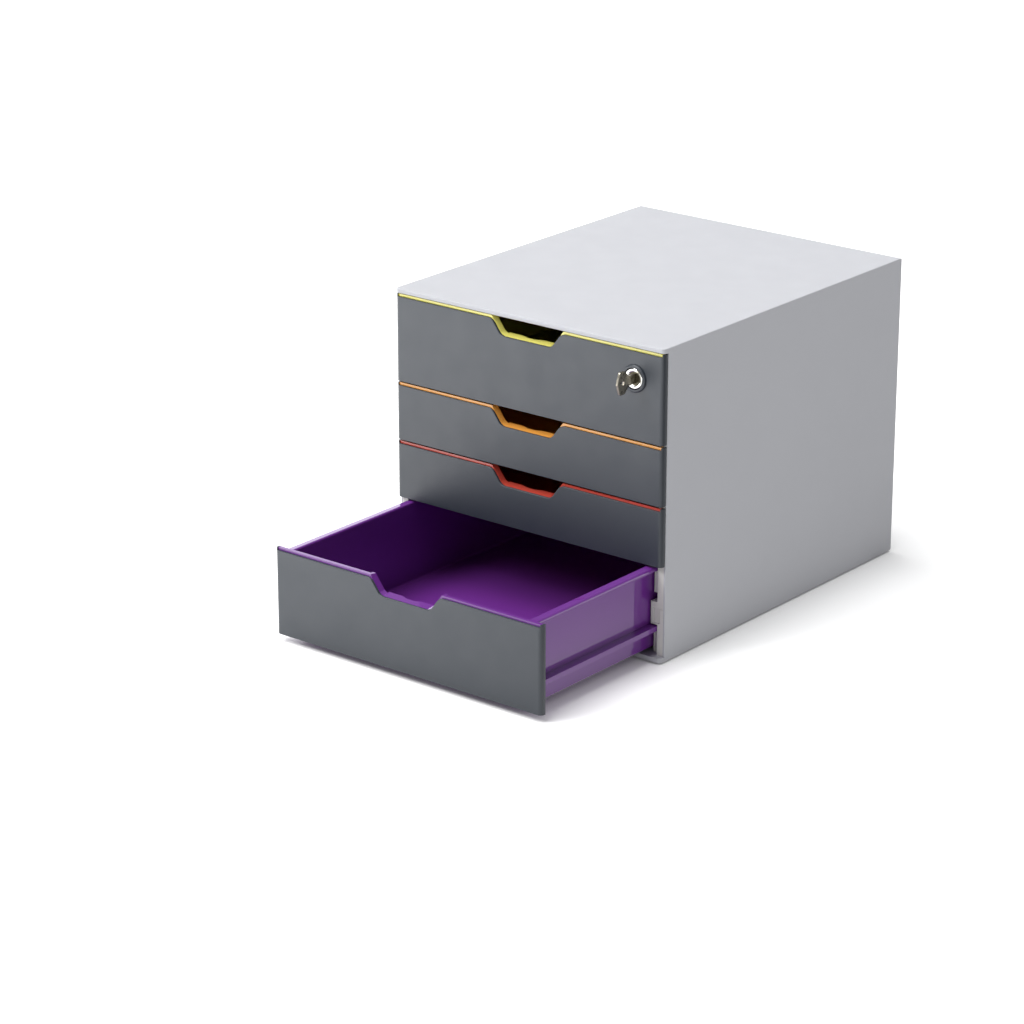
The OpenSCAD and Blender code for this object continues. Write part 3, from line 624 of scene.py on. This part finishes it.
def cutout_wedge(name, s, low_z, front_y, back_y, rise, grow=0):
    """The space of a finger cutout, or of its collar if it is grown."""
    slope = cutout_slope(s)
    slant = math.hypot(1, slope)
    height = s.cutout_depth + rise
    half_low = s.cutout_bottom / 2 + grow * (slant - slope)
    half_high = s.cutout_bottom / 2 + slope * height + grow * slant
    wedge = block(name, (-half_high, front_y, low_z - grow), (half_high, back_y, low_z + height))
    new_edit(wedge)
    choose(wedge, "faces", lambda f: facing(f, 2, -1))
    bpy.ops.transform.resize(value=(half_low / half_high, 1, 1), center_override=(0, 0, 0))
    choose(wedge, "edges", lambda e: along(e, 1) and lies(e, z=low_z - grow))
    bpy.ops.mesh.bevel(
        offset=bend_offset(s, s.cutout_corner + grow), offset_type="OFFSET", segments=FACETS["corner"],
        affect="EDGES", profile=0.5, clamp_overlap=False)
    leave_edit()
    return wedge


class DRAWER_OT_fronts(bpy.types.Operator):
    """Grey fronts with end cheeks, a return along the bottom and a finger cutout"""
    bl_idname = "drawer.fronts"
    bl_label = "Drawer fronts"

    def execute(self, context):
        s = context.scene.drawer_sizes
        made = {row: self.make(s, row) for row in ROWS if row != "lower_middle"}
        made["lower_middle"] = moved_copy(made["upper_middle"], "front_lower_middle_moulding", row_step())
        for row in ROWS:
            finished(made[row], f"drawer_{row}", MATERIALS["front"], f"front_{row}")
        return {"FINISHED"}

    def make(self, s, row):
        node = f"front_{row}"
        low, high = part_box(node)
        low.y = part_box(f"tray_{TRAYS[row]}")[0].y - s.front_plate
        plate_z = high.z - s.cheek
        over = s.cheek
        front = block(f"{node}_moulding", low, high)
        new_edit(front)
        round_edges(front, lambda e: along(e, 2) and lies(e, y=low.y), s.front_corner, FACETS["corner"])
        leave_edit()
        pan_x = high.x - s.cheek
        beyond = (pan_x, high.y + over, high.z + over)
        pocket = block("pocket", (-pan_x, low.y + s.front_plate, low.z + s.front_return), beyond)
        combine(front, pocket, "DIFFERENCE")
        combine(front, block("step", (-pan_x, low.y - over, plate_z), beyond), "DIFFERENCE")
        cutout = cutout_wedge(
            "cutout", s, plate_z - s.cutout_depth, low.y - over, high.y + over, s.cutout_above)
        combine(front, cutout, "DIFFERENCE")
        if row == "top":
            hole = lock_bar("hole", s.barrel_radius, low.y, THROUGH * over)
            combine(front, hole, "DIFFERENCE")
        flatten(front)
        new_edit(front)
        half_top = s.cutout_top / 2
        round_edges(front, lambda e: along(e, 1) and near(abs(middle(e).x), half_top, SAME_ROUND)
                    and lies(e, z=plate_z), bend_offset(s, s.cutout_corner), FACETS["dome"])
        # The lock's hole stays sharp, since its collar covers it
        clear = s.collar_radius
        round_edges(front, lambda e: sharp(e) and all(near(v.co.y, low.y) for v in e.verts)
                    and (abs(middle(e).z - LOCK_Z) > clear or row != "top"
                         or abs(middle(e).x - LOCK_X) > clear), s.front_edge)
        leave_edit()
        if row == "top":
            # The collar round the lock is rooted in the plate
            root = s.front_plate / 2
            ring = lock_bar(
                "collar", s.collar_radius, low.y + (root - s.collar_height) / 2, s.collar_height + root)
            new_edit(ring)
            round_edges(ring, lambda e: sharp(e, SQUARE) and lies(e, y=low.y - s.collar_height),
                        s.collar_round, FACETS["bead"])
            leave_edit()
            bore = lock_bar("bore", s.collar_bore, low.y, THROUGH * s.collar_height)
            combine(ring, bore, "DIFFERENCE")
            combine(front, ring, "UNION")
        return front


class DRAWER_OT_trays(bpy.types.Operator):
    """Coloured trays with rails, beads, stop lugs and a collar in the cutout"""
    bl_idname = "drawer.trays"
    bl_label = "Trays"

    def execute(self, context):
        s = context.scene.drawer_sizes
        made = {row: self.make(s, row) for row in ROWS if row != "lower_middle"}
        made["lower_middle"] = moved_copy(made["upper_middle"], "tray_red_moulding", row_step())
        for row, colour in TRAYS.items():
            finished(
                made[row], f"drawer_{row}", MATERIALS[colour], f"tray_{colour}")
        return {"FINISHED"}

    def make(self, s, row):
        node = f"tray_{TRAYS[row]}"
        low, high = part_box(node)
        front_low, front_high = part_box(f"front_{row}")
        back_y = front_high.y
        rear_y = high.y - s.bead_rear
        half = s.tray_half
        bead_z = high.z - s.bead_height
        rail_z = front_low.z + s.rail_low
        cut_z = high.z - s.cheek - s.cutout_depth
        pan_x = front_high.x - s.cheek
        pan_low = front_low.z + s.pan_low
        inner_x, floor_z = half - s.tray_wall, pan_low + s.tray_wall
        # The wall behind the front comes first, and the pan is pulled out of its back
        tray = block(
            f"{node}_moulding", (-pan_x, low.y, front_low.z + s.front_return), (pan_x, back_y, high.z))
        new_edit(tray)
        slice_at(0, -half, half)
        slice_at(2, pan_low)
        choose(tray, "faces", lambda f: facing(f, 1, 1, back_y) and abs(middle(f).x) < half
               and middle(f).z > pan_low)
        push((0, rear_y - back_y, 0))
        slice_at(2, bead_z, rail_z, rail_z + s.rail_thick)
        slice_at(0, -inner_x, inner_x)
        slice_at(1, rear_y - s.tray_wall)
        choose(tray, "faces", lambda f: facing(f, 2, 1, high.z) and abs(middle(f).x) < inner_x
               and back_y < middle(f).y < rear_y - s.tray_wall)
        push((0, 0, floor_z - high.z))
        self.stand_out(tray, s, half, back_y, rear_y, bead_z, high.z, rail_z)
        choose(tray, "verts", lambda v: near(v.co.z, high.z) and near(abs(v.co.x), half + s.bead_side))
        bpy.ops.transform.translate(value=(0, 0, -s.bead_slope))
        # No face can be a ring, so seams settle where the rim's flat top is split
        choose(tray, "edges", lambda e: along(e, 0) and inner_x < abs(middle(e).x) < half
               and any(lies(e, y=end_y, z=high.z) for end_y in (back_y, rear_y - s.tray_wall)))
        bpy.ops.mesh.mark_seam()
        round_edges(tray, lambda e: along(e, 1) and lies(e, x=half, z=pan_low), s.tray_corner,
                    FACETS["bead"])
        round_edges(tray, lambda e: along(e, 1) and lies(e, x=inner_x, z=floor_z), s.tray_fillet,
                    FACETS["rim"])
        leave_edit()
        flatten(tray)
        new_edit(tray)
        bead_x = half + s.bead_side
        for radius, lower in ((s.bead_round, False), (s.bead_foot, True)):
            round_edges(tray, lambda e: sharp(e) and not along(e, 2) and lies(e, z=bead_z) is lower
                        and (lies(e, x=bead_x) or lies(e, y=high.y)), radius, FACETS["bead"])
        rail_x = half + s.rail_side
        round_edges(tray, lambda e: sharp(e) and along(e, 1) and lies(e, x=rail_x)
                    and e.calc_length() > 2 * s.lug_length, s.rail_edge)
        round_edges(tray, lambda e: sharp(e) and along(e, 1) and lies(e, x=inner_x, z=high.z),
                    s.rim_inner, FACETS["rim"])
        leave_edit()
        face_y = low.y - s.front_plate
        inner_y = back_y - s.tray_wall
        # Each joined piece starts inside the last one, so that no two faces share a plane
        step = s.join_step
        collar = cutout_wedge(
            "collar", s, cut_z, inner_y, face_y + s.collar_depth, s.cheek - step, s.collar_wall)
        combine(tray, collar, "UNION")
        combine(tray, self.ledge(s, cut_z, face_y, inner_y + step, step), "UNION")
        behind = back_y + 2 * s.ledge_depth
        cutout = cutout_wedge("cutout", s, cut_z, low.y - s.cheek, behind, s.cutout_above)
        # The collar's inside and its ledge rise a little to the rear
        new_edit(cutout)
        choose(cutout, "faces", lambda f: facing(f, 1, 1))
        bpy.ops.transform.translate(value=(0, 0, s.cutout_tilt))
        leave_edit()
        combine(tray, cutout, "DIFFERENCE")
        if row == "top":
            self.lock_openings(tray, s, half, back_y)
        return tray

    def lock_openings(self, tray, s, half, back_y):
        """A hole for the lock's barrel, and a window for its cam in the side wall."""
        gap, wall, out = s.window_gap, s.tray_wall, s.tray_wall / 2
        hole = lock_bar("hole", s.barrel_radius + s.hole_gap, back_y, THROUGH * wall)
        combine(tray, hole, "DIFFERENCE")
        cam_low, cam_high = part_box("lock_cam")
        window = block("window", (half - wall - out, cam_low.y - gap, LOCK_Z - s.window_below),
                       (half + out, cam_high.y + gap, LOCK_Z + s.window_above))
        combine(tray, window, "DIFFERENCE")

    def stand_out(self, tray, s, half, back_y, rear_y, bead_z, top_z, rail_z):
        """Pulls the beads, the rails and the stop lugs out of the tray's walls."""
        for sign in SIDES.values():
            choose(tray, "faces", lambda f: facing(f, 0, sign, sign * half) and middle(f).y > back_y
                   and bead_z < middle(f).z < top_z)
            push((sign * s.bead_side, 0, 0))
            choose(tray, "faces", lambda f: facing(f, 0, sign, sign * half) and middle(f).y > back_y
                   and rail_z < middle(f).z < rail_z + s.rail_thick)
            push((sign * s.rail_side, 0, 0))
        choose(tray, "faces", lambda f: facing(f, 1, 1, rear_y) and bead_z < middle(f).z < top_z)
        push((0, s.bead_rear, 0))
        lug_z = rail_z + (s.rail_thick - s.lug_height) / 2
        slice_at(1, rear_y - s.lug_length)
        slice_at(2, lug_z, lug_z + s.lug_height)
        rail_x = half + s.rail_side
        for sign in SIDES.values():
            choose(tray, "faces", lambda f: facing(f, 0, sign, sign * rail_x)
                   and middle(f).y > rear_y - s.lug_length and lug_z < middle(f).z < lug_z + s.lug_height)
            push((sign * s.lug_side, 0, 0))

    def ledge(self, s, cut_z, face_y, start_y, step):
        """Ledge at the collar's bottom, whose rear edge is scalloped in the middle."""
        half = s.cutout_bottom / 2 - s.collar_wall
        made = block("ledge", (-half, start_y, cut_z - s.collar_wall + step),
                     (half, face_y + s.ledge_depth, cut_z + s.collar_wall))
        new_edit(made)
        steps = FACETS["scallop"]
        slice_at(0, *[s.scallop * (k / steps - 0.5) for k in range(steps + 1)])
        leave_edit()
        for v in made.data.vertices:
            if near(v.co.y, face_y + s.ledge_depth) and abs(v.co.x) < s.scallop / 2:
                share = (1 + math.cos(2 * math.pi * v.co.x / s.scallop)) / 2
                v.co.y -= (s.ledge_depth - s.ledge_middle) * share
        return made


# Lock

class DRAWER_OT_lock(bpy.types.Operator):
    """Chrome bezel and barrel, plug with its keyway, and key"""
    bl_idname = "drawer.lock"
    bl_label = "Lock and key"

    def execute(self, context):
        s = context.scene.drawer_sizes
        self.barrel(s)
        self.plug()
        self.key(s)
        return {"FINISHED"}

    def barrel(self, s):
        low, high = BARREL_LOW, BARREL_HIGH
        rim_y = low.y + s.bezel_round
        facets = CIRCLE["turned"]
        barrel = lock_bar(
            "lock_barrel_turned", s.barrel_radius, (rim_y + high.y) / 2, high.y - rim_y, facets)
        bezel = lock_bar("bezel", s.bezel_radius, (rim_y + FACE_Y) / 2, FACE_Y - rim_y, facets)
        combine(barrel, bezel, "UNION")
        flatten(barrel)
        # The domed bezel rises from its rim and falls to the plug's bore on quarter circles, whose
        # points are given by radius and drop
        steps = FACETS["dome"]
        turns = [math.pi / 2 * k / steps for k in range(steps + 1)]
        rise = [(s.bezel_radius - s.bezel_round * (1 - math.cos(a)), -s.bezel_round * math.sin(a))
                for a in turns]
        foot = s.plug_bore - s.bore_lap
        fall = [(foot + s.bezel_inner * (1 - math.sin(a)),
                 s.bezel_inner * (1 - math.cos(a)) - s.bezel_round) for a in turns]
        new_edit(barrel)
        choose(barrel, "faces", lambda f: facing(f, 1, -1, rim_y))
        radius, drop = rise[0]
        for next_radius, next_drop in rise[1:] + fall:
            push((0, next_drop - drop, 0))
            share = next_radius / radius
            bpy.ops.transform.resize(value=(share, 1, share), center_override=(LOCK_X, 0, LOCK_Z))
            radius, drop = next_radius, next_drop
        leave_edit()
        bore = lock_bar("bore", s.plug_bore, low.y, THROUGH * (high.y - low.y), facets)
        combine(barrel, bore, "DIFFERENCE")
        finished(barrel, "drawer_top", MATERIALS["chrome"], "lock_barrel", SMOOTH["turned"])

    def plug(self):
        plug = dressed_copy("lock_plug", "lock_plug_turned")
        finished(plug, "lock_cylinder", MATERIALS["plug"], "lock_plug", SMOOTH["turned"])

    def key(self, s):
        key = dressed_copy("key", "key_stamped")
        low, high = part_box("key")
        new_edit(key)
        round_edges(key, lambda e: sharp(e, SQUARE) and middle(e).y < FACE_Y - s.key_clear
                    and (all(near(v.co.x, low.x) for v in e.verts)
                         or all(near(v.co.x, high.x) for v in e.verts)), s.key_edge, FACETS["thin"])
        leave_edit()
        finished(key, "key", MATERIALS["nickel"], "key", SMOOTH["stamped"])


class DRAWER_OT_hardware(bpy.types.Operator):
    """Finish of the small metal parts that the frame brings along"""
    bl_idname = "drawer.hardware"
    bl_label = "Nut, cam and screws"

    def execute(self, context):
        for name in ("rear_screws", "lock_nut", "lock_cam", "cam_screw"):
            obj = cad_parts[name]
            obj.data.materials.clear()
            obj.data.materials.append(MATERIALS["zinc"])
        return {"FINISHED"}


# Stage

# Share of the table's colour at its darkest flecks
FLECK_TONE = 0.995
# Glow of the table to the camera and to matte surfaces, and of the backdrop to these and to all
TABLE_SEEN = 0.44
TABLE_BOUNCE = 0.72
BACKDROP_BOUNCE = 0.35
BACKDROP_FILL = 0.1


class DRAWER_OT_stage(bpy.types.Operator):
    """White table, soft light and the camera"""
    bl_idname = "drawer.stage"
    bl_label = "Stage"

    def execute(self, context):
        scene = context.scene
        self.table(scene.drawer_colours)
        self.lamps(scene)
        scene.world = self.backdrop()
        scene.camera = self.camera(scene)
        scene.view_settings.view_transform = "Standard"
        return {"FINISHED"}

    def table(self, colours):
        table = added("table", bpy.ops.mesh.primitive_plane_add, size=40, location=(0, 0, 0))
        made = bpy.data.materials.new("white_table")
        tree = empty_tree(made)
        place = add_node(tree, "ShaderNodeTexCoord").outputs["Object"]
        fleck = add_node(tree, "ShaderNodeTexNoise", {"Vector": place, "Scale": 1 / (300 * MM)})
        tone = add_node(tree, "ShaderNodeMix", {
            0: fleck.outputs["Fac"], 6: rgba(colours.floor, FLECK_TONE), 7: rgba(colours.floor)},
            data_type="RGBA")
        # The table is white to the camera, and lends the pieces less light than white would
        path = add_node(tree, "ShaderNodeLightPath")
        seen = add_node(tree, "ShaderNodeMix", {
            0: path.outputs["Is Camera Ray"], 6: tone.outputs[2], 7: (0.86, 0.86, 0.86, 1)},
            data_type="RGBA")
        # Glossy pieces mirror its glow alone
        unlit = add_node(tree, "ShaderNodeMix", {
            0: path.outputs["Is Glossy Ray"], 6: seen.outputs[2], 7: (0, 0, 0, 1)}, data_type="RGBA")
        matte = add_node(tree, "ShaderNodeBsdfDiffuse", {"Color": unlit.outputs[2]})
        # That glow is painted light: a pool of light on the table that only reflections see, brightest in
        # front to the left and weak in front to the right
        left = add_node(tree, "ShaderNodeVectorMath", {
            0: place, 1: (-0.6, -0.75, 0)}, operation="DOT_PRODUCT")
        bright = add_node(tree, "ShaderNodeMapRange", {
            "Value": left.outputs["Value"], "From Min": -0.1, "From Max": 0.9,
            "To Min": 0, "To Max": 2.75})
        right = add_node(tree, "ShaderNodeVectorMath", {
            0: place, 1: (0.7, -0.7, 0)}, operation="DOT_PRODUCT")
        dim = add_node(tree, "ShaderNodeMapRange", {
            "Value": right.outputs["Value"], "From Min": 0.25, "From Max": 0.7,
            "To Min": 0.86, "To Max": 0.1})
        painted_light_pool = add_node(tree, "ShaderNodeMath", {0: bright.outputs["Result"], 1: dim.outputs["Result"]})
        mirrored = add_node(tree, "ShaderNodeMath", {
            0: path.outputs["Is Glossy Ray"], 1: painted_light_pool.outputs[0]}, operation="MULTIPLY")
        bounced = add_node(tree, "ShaderNodeMath", {
            0: path.outputs["Is Diffuse Ray"], 1: TABLE_BOUNCE, 2: mirrored.outputs[0]},
            operation="MULTIPLY_ADD")
        lift = add_node(tree, "ShaderNodeMath", {
            0: path.outputs["Is Camera Ray"], 1: TABLE_SEEN, 2: bounced.outputs[0]},
            operation="MULTIPLY_ADD")
        # All of the glow fades where something stands close over the table, which paints shade on the
        # table under and beside the pieces
        clear = add_node(tree, "ShaderNodeAmbientOcclusion", {"Distance": 60 * MM}, samples=8)
        # Painted shade: the occlusion darkens the table's glow next to the pieces
        level = add_node(tree, "ShaderNodeMath", {
            0: lift.outputs[0], 1: clear.outputs["AO"]}, operation="MULTIPLY")
        glow = add_node(tree, "ShaderNodeEmission", {"Strength": level.outputs[0]})
        both = add_node(tree, "ShaderNodeAddShader", {0: matte.outputs[0], 1: glow.outputs[0]})
        add_node(tree, "ShaderNodeOutputMaterial", {"Surface": both.outputs[0]})
        table.data.materials.append(made)

    def lamp(self, scene, name, kind, place, target):
        """A lamp at a place that shines at a target."""
        made = bpy.data.objects.new(name, bpy.data.lights.new(name, kind))
        scene.collection.objects.link(made)
        made.location = place
        made.rotation_euler = (Vector(target) - Vector(place)).to_track_quat("-Z", "Y").to_euler()
        return made.data

    def lamps(self, scene):
        softbox = self.lamp(scene, "front_softbox", "AREA", (-0.7, -1.6, 1.5), (-0.1, -0.3, 0.1))
        softbox.size = 0.7
        softbox.energy = 17
        # A wide angle makes its shadows soft
        overhead = self.lamp(scene, "overhead_light", "SUN", (0, 0, 0), (0.3, 0.3, -1))
        overhead.angle = math.radians(56)
        overhead.energy = 3.3

    def backdrop(self):
        """World that is white to the camera, bright low behind for what mirrors it, and else weak."""
        world = bpy.data.worlds.new("studio")
        tree = empty_tree(world)
        path = add_node(tree, "ShaderNodeLightPath")
        way = add_node(tree, "ShaderNodeTexCoord").outputs["Generated"]
        aim = add_node(tree, "ShaderNodeSeparateXYZ", {0: way})
        low = add_node(tree, "ShaderNodeMapRange", {
            "Value": aim.outputs["Z"], "From Min": 0.3, "From Max": 0.5, "To Min": 0.9, "To Max": 0.1})
        behind = add_node(tree, "ShaderNodeMapRange", {
            "Value": aim.outputs["Y"], "From Min": -0.1, "From Max": 0.35, "To Min": 0.25, "To Max": 2.6})
        gloss = add_node(tree, "ShaderNodeMath", {
            0: path.outputs["Is Glossy Ray"], 1: behind.outputs["Result"]}, operation="MULTIPLY")
        soft = add_node(tree, "ShaderNodeMath", {
            0: path.outputs["Is Diffuse Ray"], 1: BACKDROP_BOUNCE, 2: gloss.outputs[0]},
            operation="MULTIPLY_ADD")
        shown = add_node(tree, "ShaderNodeMath", {
            0: soft.outputs[0], 1: low.outputs["Result"], 2: path.outputs["Is Camera Ray"]},
            operation="MULTIPLY_ADD")
        level = add_node(tree, "ShaderNodeMath", {0: shown.outputs[0], 1: BACKDROP_FILL})
        fill = add_node(tree, "ShaderNodeBackground", {
            "Color": (0.97, 0.98, 1, 1), "Strength": level.outputs[0]})
        add_node(tree, "ShaderNodeOutputWorld", {"Surface": fill.outputs[0]})
        return world

    def camera(self, scene):
        """Camera that looks down at the drawer from the front right."""
        data = bpy.data.cameras.new("camera")
        made = bpy.data.objects.new("camera", data)
        scene.collection.objects.link(made)
        data.lens = 123.718
        data.clip_end = 60
        azimuth, elevation = math.radians(38.906), math.radians(19.854)
        level = math.cos(elevation)
        back = Vector((math.sin(azimuth) * level, -math.cos(azimuth) * level, math.sin(elevation)))
        made.location = (1.7830, -2.4058, 1.1359)
        made.rotation_euler = (-back).to_track_quat("-Z", "Y").to_euler()
        return made


class DRAWER_PT_panel(bpy.types.Panel):
    """Sizes, colours and pieces of the file drawer"""
    bl_idname = "DRAWER_PT_panel"
    bl_label = "File drawer"
    bl_space_type = "VIEW_3D"
    bl_region_type = "UI"
    bl_category = "File drawer"

    def draw(self, context):
        for operator in OPERATORS:
            self.layout.operator(operator.bl_idname)
        scene = context.scene
        for group in (scene.drawer_sizes, scene.drawer_colours):
            box = self.layout.box()
            for name in group.bl_rna.properties.keys():
                if name not in ("rna_type", "name"):
                    box.prop(group, name)


OPERATORS = (DRAWER_OT_finishes, DRAWER_OT_shell, DRAWER_OT_base, DRAWER_OT_liners, DRAWER_OT_feet,
             DRAWER_OT_fronts, DRAWER_OT_trays, DRAWER_OT_lock, DRAWER_OT_hardware, DRAWER_OT_stage)
CLASSES = (DrawerSizes, DrawerColours, *OPERATORS, DRAWER_PT_panel)


def register():
    for item in CLASSES:
        bpy.utils.register_class(item)
    bpy.types.Scene.drawer_sizes = bpy.props.PointerProperty(type=DrawerSizes)
    bpy.types.Scene.drawer_colours = bpy.props.PointerProperty(type=DrawerColours)


def unregister():
    del bpy.types.Scene.drawer_colours
    del bpy.types.Scene.drawer_sizes
    for item in reversed(CLASSES):
        bpy.utils.unregister_class(item)


def main():
    register()
    bpy.ops.drawer.finishes()
    bpy.ops.drawer.shell()
    bpy.ops.drawer.base()
    bpy.ops.drawer.liners()
    bpy.ops.drawer.feet()
    bpy.ops.drawer.fronts()
    bpy.ops.drawer.trays()
    bpy.ops.drawer.lock()
    bpy.ops.drawer.hardware()
    bpy.ops.drawer.stage()


if __name__ == "__main__":
    main()
